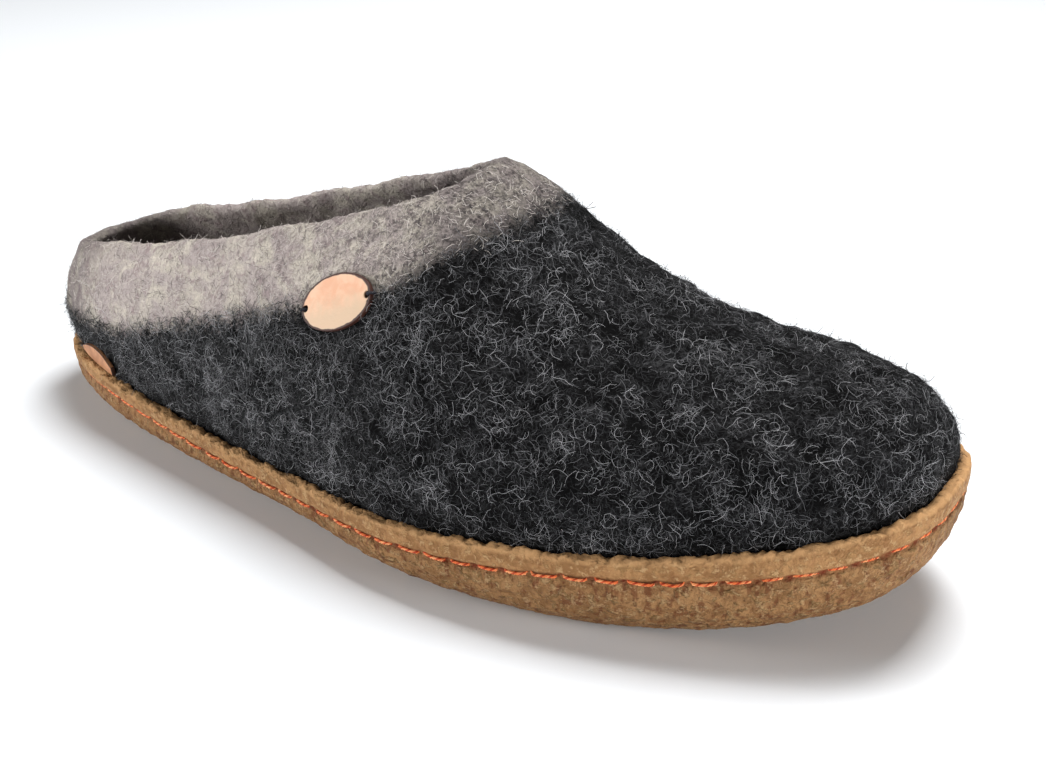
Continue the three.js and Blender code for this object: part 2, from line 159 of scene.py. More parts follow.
class Recipe:
    """A material in the making, around one principled shader."""

    def __init__(self, name: str, **fixed: float | Colour) -> None:
        """Starts a material.

        Args:
            name: The material's name.
            fixed: Values that are the same all over the surface, with _ for a space in a socket's name.
        """
        self.material = bpy.data.materials.new(name)
        self.material.use_nodes = True
        self.tree = self.material.node_tree
        self.shader = self.tree.nodes["Principled BSDF"]
        for key, value in fixed.items():
            self.shader.inputs[key.replace("_", " ").title().replace("Ior", "IOR")].default_value = value
        self.place = self.node("ShaderNodeTexCoord", output="Object")

    def node(
        self,
        kind: str,
        settings: dict[str, object] | None = None,
        values: dict[int | str, object] | None = None,
        output: int | str = 0,
    ) -> Signal:
        """Adds any node.

        Args:
            kind: The node's type.
            settings: Its own properties. stops fills a colour ramp with (place, colour) pairs.
            values: What its sockets hold or are linked to.
            output: Which output is used.

        Returns:
            That output.
        """
        made = self.tree.nodes.new(kind)
        for key, value in (settings or {}).items():
            if key == "stops":
                self._fill(made.color_ramp, value)
            else:
                setattr(made, key, value)
        for key, value in (values or {}).items():
            self.feed(made.inputs[key], value)
        return Signal(self.tree, made.outputs[output])

    @staticmethod
    def _fill(scale: bpy.types.ColorRamp, stops: list[tuple[float, Colour]]) -> None:
        """Sets a colour ramp's stops.

        Args:
            scale: The ramp.
            stops: Places from 0 to 1 with their colours.
        """
        while len(scale.elements) < len(stops):
            scale.elements.new(1.0)
        for element, (place, colour) in zip(scale.elements, stops):
            element.position = place
            element.color = colour

    def feed(self, socket: bpy.types.NodeSocket, value: object) -> None:
        """Links a signal to an input, or sets its value.

        Args:
            socket: The input.
            value: A signal, number, vector or colour.
        """
        if isinstance(value, Signal):
            self.tree.links.new(value.socket, socket)
        else:
            socket.default_value = value

    def vary(self, name: str, value: Signal) -> None:
        """Feeds one of the shader's own sockets with what changes over the surface."""
        self.feed(self.shader.inputs[name], value)

    def attribute(self, name: str) -> Signal:
        """Reads a number that the mesh holds at each point."""
        return self.node("ShaderNodeAttribute", {"attribute_name": name}, output="Fac")

    def noise(
        self,
        size: float,
        grain: Grain = Grain.SOFT,
        detail: float = 2.0,
        distortion: float = 0.0,
        at: Signal | None = None,
    ) -> Signal:
        """Adds a noise with features of about a given size.

        Args:
            size: The size of its features, in metres.
            grain: Its kind.
            detail: How many finer layers it has.
            distortion: How much it is swirled.
            at: Where it is read, or None for the object's own coordinates.

        Returns:
            The noise, about 0.5 in the middle.
        """
        values = {"Vector": at or self.place, "Scale": 1 / size, "Detail": detail, "Distortion": distortion}
        return self.node("ShaderNodeTexNoise", {"noise_type": grain.value}, values)

    def curls(self, size: float, seed: float, thin: float) -> Signal:
        """Draws thin curly lines, as fibres that lie on the surface look.

        Args:
            size: The size of the curls, in metres.
            seed: Tells one set of curls from another.
            thin: The lines' width, as a share of the noise that they are drawn from.

        Returns:
            1 on the lines and 0 off them.
        """
        values = {"Vector": self.place, "W": seed, "Scale": 1 / size, "Detail": 1.0, "Distortion": 0.9}
        field = self.node("ShaderNodeTexNoise", {"noise_dimensions": "4D"}, values)
        return self.step(self.node("ShaderNodeMath", {"operation": "ABSOLUTE"}, {0: field - 0.5}), thin, 0.0)

    def step(self, value: Signal, low: float, high: float) -> Signal:
        """Goes smoothly from 0 where a signal is low to 1 where it is high."""
        settings = {"interpolation_type": "SMOOTHSTEP"}
        return self.node("ShaderNodeMapRange", settings, {"Value": value, "From Min": low, "From Max": high})

    def blend(self, factor: Signal | float, below: object, above: object) -> Signal:
        """Mixes two colours."""
        return self.node("ShaderNodeMix", {"data_type": "RGBA"}, {0: factor, 6: below, 7: above}, output=2)

    def shade(self, colour: object, amount: Signal) -> Signal:
        """Multiplies a colour by a grey signal."""
        settings = {"data_type": "RGBA", "blend_type": "MULTIPLY"}
        return self.node("ShaderNodeMix", settings, {0: 1.0, 6: colour, 7: amount}, output=2)

    def relief(
        self, height: Signal, depth: float, strength: float = 1.0, under: Signal | None = None
    ) -> Signal:
        """Turns a height signal into a bump.

        Args:
            height: The signal.
            depth: The relief's depth in metres for a signal of 1.
            strength: How much of it shows.
            under: Another bump that it lies on.

        Returns:
            The bent normal.
        """
        values = {"Height": height, "Distance": depth, "Strength": strength}
        if under is not None:
            values["Normal"] = under
        return self.node("ShaderNodeBump", values=values)


@dataclass(frozen=True)
class WoolFinish:
    """Felted wool, dark below the border and light above it, as the mesh's attributes say, with painted
    shade inside, on the collar's lip and at its rear, partly painted shade at the throat, and painted light
    on the heel side.
    """

    soot: Colour = screen(3, 3, 3)
    charcoal: Colour = screen(15, 15, 16)
    ash: Colour = screen(58, 58, 60)
    silver: Colour = screen(112, 112, 114)
    stone: Colour = screen(184, 172, 168)
    cream: Colour = screen(206, 197, 184)
    rose: Colour = screen(176, 158, 157)
    slate: Colour = screen(92, 86, 85)
    patch: float = 9 * MM
    mottle: float = 3 * MM
    fleck: float = 0.8 * MM
    fine_curl: float = 1.3 * MM
    loose_curl: float = 2.0 * MM
    bright_curl: float = 2.8 * MM
    feather: float = 2.6
    # painted shade deep inside the slipper
    inside_painted_shade: float = 0.52
    front_grey: float = 0.85
    # darker towards the throat: greyer wool there, and painted shade on the upward-facing throat
    throat_grey_and_shade: float = 0.42
    # painted shade on the collar's top edge
    lip_painted_shade: float = 0.18
    # painted shade on the collar's rear side
    rear_painted_shade: float = 0.42
    rear: tuple[float, float] = (-104 * MM, -128 * MM)
    # more light curls towards the heel: painted light on the heel side, darker towards the toe
    heel: tuple[float, float] = (-10 * MM, -115 * MM)

    def material(self) -> bpy.types.Material:
        """Builds the material."""
        made = Recipe("felted_wool", roughness=0.95, specular_ior_level=0.1)
        patches = made.noise(self.patch, detail=3.0, distortion=0.7)
        mottles = made.noise(self.mottle, detail=3.0, distortion=0.8)
        flecks = made.noise(self.fleck, detail=2.0, distortion=0.5)
        fine = made.curls(self.fine_curl, seed=9.0, thin=0.07)
        loose = made.curls(self.loose_curl, seed=3.0, thin=0.05)
        bright = made.curls(self.bright_curl, seed=5.0, thin=0.03)
        clumps = made.step(patches * 0.65 + mottles * 0.35, 0.4, 0.62)
        length = made.node("ShaderNodeSeparateXYZ", values={0: made.place})
        # painted light on the heel side: more light curls there than at the front
        much = 0.4 + 0.6 * made.step(length, *self.heel)
        dark = made.blend(made.step(flecks * (0.35 + clumps), 0.25, 0.8), self.soot, self.charcoal)
        dark = made.blend(fine * (0.1 + 0.6 * clumps) * much, dark, self.ash)
        dark = made.blend(loose * (0.08 + 0.7 * clumps) * much, dark, self.ash)
        dark = made.blend(bright * clumps * 0.8 * much, dark, self.silver)
        light = made.blend(made.step(patches, 0.4, 0.64), self.stone, self.cream)
        light = made.blend(made.step(mottles, 0.5, 0.72) * 0.8, light, self.rose)
        greying = made.attribute("front") * self.front_grey
        greys = made.step(mottles * 0.5 + flecks * 0.5, 0.42, 0.68) * (0.3 + greying)
        light = made.blend(greys, light, self.slate)
        light = made.blend((fine + loose) * (0.14 + 0.3 * greying), light, self.slate)
        light = made.shade(light, 1 - greying * 0.28)
        # darker towards the throat: greyer wool, and painted shade
        light = made.shade(light, 1 - made.attribute("throat") * self.throat_grey_and_shade)
        # painted shade on the collar's top edge
        light = made.shade(light, 1 - made.attribute("lip") * self.lip_painted_shade)
        # painted shade on the collar's rear side
        light = made.shade(light, 1 - made.step(length, *self.rear) * self.rear_painted_shade)
        edge = made.attribute("band") + (mottles - 0.5) * 9.0 + (flecks - 0.5) * 8.0 + (loose - 0.3) * 2.0
        wool = made.blend(made.step(edge, -self.feather, self.feather), dark, light)
        # painted shade inside the slipper, stronger further below the collar's edge
        made.vary("Base Color", made.shade(wool, 1 - made.attribute("painted_shade") * self.inside_painted_shade))
        lumpy = made.relief(mottles, 0.9 * MM, 0.6)
        made.vary("Normal", made.relief(fine * 0.5 + loose + flecks, 0.25 * MM, 0.6, lumpy))
        return made.material


@dataclass(frozen=True)
class FibreFinish:
    """Loose wool fibres of one shade."""

    name: str
    colour: Colour

    def material(self) -> bpy.types.Material:
        """Builds the material."""
        return Recipe(self.name, base_color=self.colour, roughness=0.7, specular_ior_level=0.25).material


@dataclass(frozen=True)
class CrepeFinish:
    """Natural crepe rubber: caramel, mottled and crinkled, with a smoother band over the stitches."""

    caramel: Colour = screen(142, 102, 62)
    honey: Colour = screen(172, 129, 84)
    rust: Colour = screen(108, 56, 26)
    olive: Colour = screen(104, 77, 38)
    pale: Colour = screen(216, 178, 130)
    # lighter rim top: a torn edge, and painted light against the felt's shadow on the rim's ledge
    torn_edge_and_painted_light: Colour = screen(206, 160, 110)
    stained: Colour = screen(112, 42, 16)
    cloud: float = 10 * MM
    mottle: float = 2.8 * MM
    crumb: float = 1.7 * MM
    grit: float = 0.45 * MM
    streak: float = 0.35
    seam_reach: float = 1.4
    lower_dark: float = 0.14

    def material(self) -> bpy.types.Material:
        """Builds the material."""
        made = Recipe("crepe_rubber", specular_ior_level=0.25)
        below = made.attribute("below_seam")
        clouds = made.noise(self.cloud, detail=3.0)
        mottles = made.noise(self.mottle, detail=3.0, distortion=0.6)
        crumbs = made.noise(self.crumb, detail=2.0, distortion=0.3)
        grit = made.noise(self.grit, detail=2.0)
        upright = made.node("ShaderNodeMapping", values={"Vector": made.place, "Scale": (1, 1, self.streak)})
        streaks = made.noise(self.crumb, detail=2.0, at=upright)
        rough = made.step(below, -1.1, 1.1)
        base = made.blend(made.step(clouds * 0.4 + mottles * 0.6, 0.43, 0.57), self.caramel, self.honey)
        spots = made.step(crumbs * 0.5 + mottles * 0.5, 0.5, 0.6) * (0.5 + 0.3 * rough)
        base = made.blend(spots, base, self.olive)
        base = made.blend(made.step(streaks, 0.52, 0.66) * (0.2 + 0.5 * rough), base, self.rust)
        base = made.blend(made.step(crumbs * 0.7 + grit * 0.3, 0.51, 0.66) * 0.5, base, self.pale)
        base = made.blend(made.step(grit, 0.46, 0.34) * (0.15 + 0.2 * rough), base, self.rust)
        base = made.shade(base, 1 - rough * self.lower_dark)
        # lighter rim top: torn edge, and painted light against the felt's shadow on the ledge
        base = made.blend(made.step(made.attribute("drop"), 1.5, 0.2) * 0.7, base, self.torn_edge_and_painted_light)
        away = made.node("ShaderNodeMath", {"operation": "ABSOLUTE"}, {0: below})
        line = made.step(away, self.seam_reach, 0.2)
        stain = line * (0.35 + 0.6 * made.attribute("gap")) * made.step(crumbs + mottles, 0.7, 1.1)
        base = made.blend(stain, base, self.stained)
        made.vary("Base Color", base)
        made.vary("Roughness", 0.62 + 0.25 * grit)
        coarse = made.relief(mottles * (0.4 + rough * 0.6), 2.2 * MM)
        made.vary("Normal", made.relief(crumbs + grit * 0.35, 1.3 * MM, 0.8, coarse))
        return made.material


@dataclass(frozen=True)
class FootbedFinish:
    """Pressed grey felt."""

    colour: Colour = screen(132, 126, 122)
    fleck: Colour = screen(88, 84, 82)
    mottle: float = 4 * MM
    strand: float = 0.9 * MM

    def material(self) -> bpy.types.Material:
        """Builds the material."""
        made = Recipe("footbed_felt", roughness=0.95, specular_ior_level=0.12, sheen_weight=0.2)
        mottles = made.noise(self.mottle, detail=3.0, distortion=0.5)
        strands = made.noise(self.strand, Grain.FIBROUS, detail=3.0, distortion=1.2)
        made.vary("Base Color", made.blend(made.step(mottles * strands, 0.3, 0.8), self.colour, self.fleck))
        made.vary("Normal", made.relief(strands + mottles, 0.3 * MM, 0.6))
        return made.material


@dataclass(frozen=True)
class ThreadFinish:
    """Twisted sewing thread."""

    name: str
    colour: Colour
    patch_tone: Colour

    def material(self) -> bpy.types.Material:
        """Builds the material."""
        made = Recipe(self.name, roughness=0.6, specular_ior_level=0.35)
        # lighter patches of a second tone, placed by noise
        tone_patches = made.noise(2 * MM, detail=2.0)
        made.vary("Base Color", made.blend(made.step(tone_patches, 0.4, 0.7), self.colour, self.patch_tone))
        made.vary("Normal", made.relief(made.noise(0.25 * MM), 0.1 * MM, 0.5))
        return made.material


@dataclass(frozen=True)
class LeatherFinish:
    """Natural leather with fine grain and clouds of a second shade."""

    name: str
    face: Colour
    flush: Colour
    grain: float = 0.7 * MM
    cloud: float = 6 * MM

    def start(self) -> tuple[Recipe, Signal]:
        """Starts the leather with its grain and works out its colour.

        Returns:
            The recipe, with its bump in place, and the leather's colour.
        """
        made = Recipe(self.name, roughness=0.55, specular_ior_level=0.35)
        pores = made.noise(self.grain, detail=3.0)
        clouds = made.noise(self.cloud, detail=3.0, distortion=0.8)
        made.vary("Normal", made.relief(pores, 0.12 * MM, 0.5))
        return made, made.blend(made.step(clouds, 0.4, 0.66), self.face, self.flush)

    def material(self) -> bpy.types.Material:
        """Builds the material of a plain piece."""
        made, colour = self.start()
        made.vary("Base Color", colour)
        return made.material


@dataclass(frozen=True)
class Spot:
    """A place on a surface with its way out."""

    point: Vector
    out: Vector


def merged_copy(node: str, name: str) -> bpy.types.Object:
    """Copies a CAD node's mesh into a new object, with its loose triangles joined.

    Args:
        node: The CAD node.
        name: The new piece's name.

    Returns:
        The new object, linked to the scene.
    """
    work = bmesh.new()
    work.from_mesh(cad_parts[node].data)
    bmesh.ops.remove_doubles(work, verts=work.verts, dist=WELD)
    return as_piece(work, name)


def as_piece(work: bmesh.types.BMesh, name: str, smooth: bool = True) -> bpy.types.Object:
    """Turns a bmesh into an object of the scene and frees it.

    Args:
        work: The finished bmesh.
        name: The piece's name.
        smooth: Whether its faces are shaded smooth.

    Returns:
        The object.
    """
    mesh = bpy.data.meshes.new(name)
    for face in work.faces:
        face.smooth = smooth
    work.to_mesh(mesh)
    work.free()
    piece = bpy.data.objects.new(name, mesh)
    bpy.context.scene.collection.objects.link(piece)
    return piece


def settle(piece: bpy.types.Object) -> None:
    """Bakes a piece's modifiers into its mesh."""
    graph = bpy.context.evaluated_depsgraph_get()
    baked = bpy.data.meshes.new_from_object(piece.evaluated_get(graph))
    piece.modifiers.clear()
    piece.data = baked


def evened(piece: bpy.types.Object, cell: float, rounds: int) -> None:
    """Gives a closed piece an even net of small faces in place of its facets.

    Args:
        piece: The object.
        cell: The side of a face, in metres.
        rounds: How often the net is smoothed.
    """
    net = piece.modifiers.new("net", "REMESH")
    net.mode = "VOXEL"
    net.voxel_size = cell
    net.use_smooth_shade = True
    ease = piece.modifiers.new("ease", "SMOOTH")
    ease.factor = 0.5
    ease.iterations = rounds
    settle(piece)


def points_of(mesh: bpy.types.Mesh) -> np.ndarray:
    """Reads a mesh's points into an array of rows."""
    flat = np.empty(len(mesh.vertices) * 3, np.float32)
    mesh.vertices.foreach_get("co", flat)
    return flat.reshape(-1, 3).astype(float)


def normals_of(mesh: bpy.types.Mesh) -> np.ndarray:
    """Reads the normals at a mesh's points into an array of rows."""
    flat = np.empty(len(mesh.vertices) * 3, np.float32)
    mesh.vertices.foreach_get("normal", flat)
    return flat.reshape(-1, 3).astype(float)


def move_points(mesh: bpy.types.Mesh, points: np.ndarray) -> None:
    """Puts a mesh's points where an array says."""
    mesh.vertices.foreach_set("co", points.astype(np.float32).ravel())
    mesh.update()


def note(mesh: bpy.types.Mesh, name: str, values: np.ndarray) -> None:
    """Stores a number at each point of a mesh, for its material."""
    made = mesh.attributes.new(name, "FLOAT", "POINT")
    made.data.foreach_set("value", values.astype(np.float32))


def lumps(points: np.ndarray, size: float, seed: float) -> np.ndarray:
    """Reads a smooth noise at each point.

    Args:
        points: Rows of coordinates in metres.
        size: The size of its features in metres.
        seed: Shifts the noise.

    Returns:
        Values from about -1 to 1.
    """
    shift = Vector((seed, -seed, seed * 0.5))
    return np.array([noise.noise(Vector(row) / size + shift) for row in points])


def present(piece: bpy.types.Object, material: bpy.types.Material, slot: str, *nodes: str) -> None:
    """Gives a finished piece its material and its place in the object.

    Args:
        piece: The piece.
        material: Its finish.
        slot: Not used.
        nodes: The CAD nodes that it stands for.
    """
    if not piece.data.materials:
        piece.data.materials.append(material)
    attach(piece, BODY)
    if nodes:
        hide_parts(*nodes)
    LOG.info("%s: %d faces", piece.name, len(piece.data.polygons))


@dataclass
class SoleWall:
    """The outer wall of the sole, measured on the CAD outsole from outside."""

    looks: int = 900
    reach_along: float = 160 * MM
    reach_across: float = 90 * MM
    aim: float = 0.6
    lowest: float = 4 * MM
    highest: float = 60 * MM
    halvings: int = 14
    under_rim: float = 1.2 * MM
    groove_span: tuple[float, float] = (3 * MM, 11 * MM)
    groove_looks: int = 33
    groove_half: int = 6
    steadying: int = 15
    pitch: float = 7.9 * MM
    gap_span: tuple[float, float] = (0.28, 0.46)
    lifts: tuple[tuple[float, float], ...] = (
        (-125, 0.6), (-100, 1.2), (-75, 1.0), (-40, 0.7), (-10, 0.3), (42, 0.1), (52, 0.6),
        (62, 1.6), (72, 1.7), (84, 1.5), (97, 1.1), (108, 0.5), (120, 0.1),
    )

    def __post_init__(self) -> None:
        """Walks once round the sole and finds its rim and the groove for the seam."""
        work = bmesh.new()
        work.from_mesh(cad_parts["outsole"].data)
        self.tree = BVHTree.FromBMesh(work)
        work.free()
        turns = [2 * math.pi * i / self.looks for i in range(self.looks)]
        tops = [self._top(turn) for turn in turns]
        self.rim = [self._spot(turn, top - self.under_rim) for turn, top in zip(turns, tops)]
        found = np.array([self._groove_drop(turn, top) for turn, top in zip(turns, tops)])
        wrapped = np.concatenate([found[-self.steadying:], found, found[:self.steadying]])
        even = np.full(2 * self.steadying + 1, 1 / (2 * self.steadying + 1))
        places, lifts = np.array(self.lifts).T * MM
        along = [spot.point.x for spot in self.rim]
        self.groove_drops = np.convolve(wrapped, even, mode="valid") - np.interp(along, places, lifts)
        heights = [top - drop for top, drop in zip(tops, self.groove_drops)]
        self.seam = [self._spot(turn, height) for turn, height in zip(turns, heights)]
        steps = [(b.point - a.point).length for a, b in zip(self.seam, self.seam[1:] + self.seam[:1])]
        self.along = np.concatenate([[0.0], np.cumsum(steps)])
        self.length = float(self.along[-1])
        self.stitches = round(self.length / self.pitch)
        self.finder = KDTree(self.looks)
        for i, spot in enumerate(self.rim):
            self.finder.insert(spot.point.xy.to_3d(), i)
        self.finder.balance()

    def _ray(self, turn: float, height: float) -> tuple[Vector, Vector, float]:
        """Gives the line of sight from outside at a height, with how far it may run."""
        eye = Vector((math.cos(turn) * self.reach_along, math.sin(turn) * self.reach_across, height))
        mark = Vector((eye.x * self.aim, 0, height))
        return eye, (mark - eye).normalized(), (mark - eye).length

    def _top(self, turn: float) -> float:
        """Finds the rim's height at an angle round the sole."""
        low, high = self.lowest, self.highest
        for _ in range(self.halvings):
            middle = (low + high) / 2
            if self.tree.ray_cast(*self._ray(turn, middle))[0] is None:
                high = middle
            else:
                low = middle
        return low

    def _spot(self, turn: float, height: float) -> Spot:
        """Finds the wall's face at an angle and a height."""
        point, out, _, _ = self.tree.ray_cast(*self._ray(turn, height))
        return Spot(point, out)

    def _groove_drop(self, turn: float, top: float) -> float:
        """Finds how far under the rim the groove runs.

        Args:
            turn: The angle round the sole.
            top: The rim's height there.

        Returns:
            The drop of the groove's middle, where the wall lies deepest behind what is above and below it.
        """
        drops = np.linspace(*self.groove_span, self.groove_looks)
        depths = np.array([self.tree.ray_cast(*self._ray(turn, top - drop))[3] for drop in drops])
        k = self.groove_half
        dips = depths[k:-k] - (depths[2 * k:] + depths[:-2 * k]) / 2
        weights = np.maximum(dips - dips.max() / 2, 0)
        return float((drops[k:-k] * weights).sum() / weights.sum())

    def seam_at(self, distance: float) -> Spot:
        """Gives the place on the seam at a distance along it."""
        place = distance % self.length
        i = int(np.searchsorted(self.along, place, side="right")) - 1
        share = (place - self.along[i]) / (self.along[i + 1] - self.along[i])
        a, b = self.seam[i], self.seam[(i + 1) % self.looks]
        return Spot(a.point.lerp(b.point, share), a.out.lerp(b.out, share).normalized())

    def seam_way(self, distance: float) -> Vector:
        """Gives the seam's direction at a distance along it."""
        return (self.seam_at(distance + MM).point - self.seam_at(distance - MM).point).normalized()

    def nearest(self, points: np.ndarray) -> np.ndarray:
        """Finds the place round the rim that each point is next to."""
        return np.array([self.finder.find(Vector((x, y, 0)))[1] for x, y, _ in points])

    def drops(self, points: np.ndarray) -> np.ndarray:
        """Says how far each point lies under the rim next to it, in metres."""
        rims = np.array([spot.point.z + self.under_rim for spot in self.rim])
        return rims[self.nearest(points)] - points[:, 2]

    def below_seam(self, points: np.ndarray) -> np.ndarray:
        """Says how far each point lies under the seam next to it, in metres."""
        return self.drops(points) - self.groove_drops[self.nearest(points)]

    def gaps(self, points: np.ndarray) -> np.ndarray:
        """Says how near each point is to a gap between two stitches: 1 in its middle, 0 at a stitch."""
        phase = self.along[self.nearest(points)] / self.length * self.stitches % 1
        return ramp(np.abs(phase - 0.5), *self.gap_span)

    def outward(self, points: np.ndarray, normals: np.ndarray) -> np.ndarray:
        """Says how far each point's normal faces out of the wall next to it."""
        outs = np.array([spot.out.normalized() for spot in self.rim])
        return (outs[self.nearest(points)] * normals).sum(1)


@dataclass
class CrepeSole:
    """The cup sole, with a ragged rim, a crinkled wall and a groove for the stitches."""

    wall: SoleWall
    finish: CrepeFinish = CrepeFinish()
    cell: float = 0.88 * MM
    smoothing: int = 1
    ragged: float = 1.1 * MM
    crinkle: float = 0.5 * MM
    groove: float = 0.45 * MM
    groove_width: float = 0.9 * MM
    pucker: float = 0.35 * MM
    toe: tuple[float, float] = (85 * MM, 125 * MM)
    fine_lump: float = 1.9 * MM
    broad_lump: float = 4.5 * MM
    tooth: float = 1.45 * MM
    notch: float = 4 * MM
    rough_span: tuple[float, float] = (0.5 * MM, 3.5 * MM)
    rim_span: tuple[float, float] = (-1.6 * MM, -0.4 * MM)

    def build(self) -> bpy.types.Object:
        """Makes the sole and dresses it."""
        piece = merged_copy("outsole", "crepe_sole")
        evened(piece, self.cell, self.smoothing)
        mesh = piece.data
        points, normals = points_of(mesh), normals_of(mesh)
        drops = self.wall.drops(points)
        facing = ramp(self.wall.outward(points, normals), 0.2, 0.7)
        below = self.wall.below_seam(points)
        note(mesh, "drop", drops / MM)
        note(mesh, "below_seam", below / MM)
        low = ramp(below, *self.rough_span)
        fine = lumps(points, self.fine_lump, seed=3.0)
        broad = lumps(points, self.broad_lump, seed=8.0)
        rough = (fine * 0.6 + broad * 0.7) * self.crinkle * (0.4 + 0.6 * low) * facing
        calm = 1 - 0.5 * ramp(points[:, 0], *self.toe)
        seam = np.exp(-((below / self.groove_width) ** 2)) * facing * calm
        gaps = self.wall.gaps(points)
        note(mesh, "gap", gaps)
        shift = rough - seam * (self.groove + self.pucker * gaps)
        rim = ramp(-drops, *self.rim_span)
        points += normals * shift[:, None]
        teeth = lumps(points, self.tooth, seed=5.0) + 0.6 * lumps(points, self.notch, seed=6.0)
        points[:, 2] += rim * teeth * self.ragged
        points[:, 2] = np.maximum(points[:, 2], 0.0)
        move_points(mesh, points)
        present(piece, self.finish.material(), "crepe_rubber", "outsole")
        return piece


@dataclass
class TwistedThread:
    """A strand of twisted plies, one unit long, and pieces made of bent copies of it."""

    radius: float
    turns: float
    steps: int
    plies: int = 3
    sides: int = 6
    ply_share: float = 0.5
    lay_share: float = 0.56

    def __post_init__(self) -> None:
        """Makes the strand along +X, from 0 to 1, with its plies wound round each other."""
        work = bmesh.new()
        ends = []
        for ply in range(self.plies):
            self._wind(work, 2 * math.pi * ply / self.plies)
            ends.append(len(work.faces))
        bmesh.ops.recalc_face_normals(work, faces=work.faces)
        work.faces.ensure_lookup_table()
        self.pattern = np.array([vert.co for vert in work.verts])
        self.faces = [[vert.index for vert in face.verts] for face in work.faces]
        self.ply_of_face = [sum(i >= end for end in ends) for i in range(len(work.faces))]
        work.free()

    def _wind(self, work: bmesh.types.BMesh, start: float) -> None:
        """Adds one ply to the strand.

        Args:
            work: The strand's bmesh.
            start: The ply's angle at the strand's start.
        """
        upright = Matrix.Rotation(math.pi / 2, 4, "Y")
        made = bmesh.ops.create_circle(
            work, cap_ends=True, segments=self.sides, radius=self.radius * self.ply_share, matrix=upright
        )
        ring = made["verts"]
        bmesh.ops.translate(work, verts=ring, vec=self._lay(start, 0))
        edges = list({edge for vert in ring for edge in vert.link_edges})
        for step in range(1, self.steps + 1):
            grown = bmesh.ops.extrude_edge_only(work, edges=edges)["geom"]
            ring = [part for part in grown if isinstance(part, bmesh.types.BMVert)]
            edges = [part for part in grown if isinstance(part, bmesh.types.BMEdge)]
            move = self._lay(start, step) - self._lay(start, step - 1)
            bmesh.ops.translate(work, verts=ring, vec=move)
        bmesh.ops.contextual_create(work, geom=edges)
        work.verts.index_update()

    def _lay(self, start: float, step: int) -> Vector:
        """Gives a ply's middle at a step along the strand."""
        share = step / self.steps
        angle = start + 2 * math.pi * self.turns * share
        out = self.radius * self.lay_share
        return Vector((share, math.cos(angle) * out, math.sin(angle) * out))

    def joined(
        self, name: str, strands: list[list[Vector]], *looks: bpy.types.Material
    ) -> bpy.types.Object:
        """Joins bent copies of the strand into one piece.

        Args:
            name: The piece's name.
            strands: The points of each copy.
            looks: The finishes that the plies take in turn.

        Returns:
            The piece.
        """
        size = len(self.pattern)
        starts = [i * size for i in range(len(strands))]
        polygons = [[corner + start for corner in face] for start in starts for face in self.faces]
        plies = [ply % len(looks) for ply in self.ply_of_face] * len(strands)
        mesh = bpy.data.meshes.new(name)
        mesh.from_pydata([point for strand in strands for point in strand], [], polygons)
        mesh.polygons.foreach_set("use_smooth", [True] * len(polygons))
        mesh.polygons.foreach_set("material_index", plies)
        for look in looks:
            mesh.materials.append(look)
        piece = bpy.data.objects.new(name, mesh)
        bpy.context.scene.collection.objects.link(piece)
        return piece


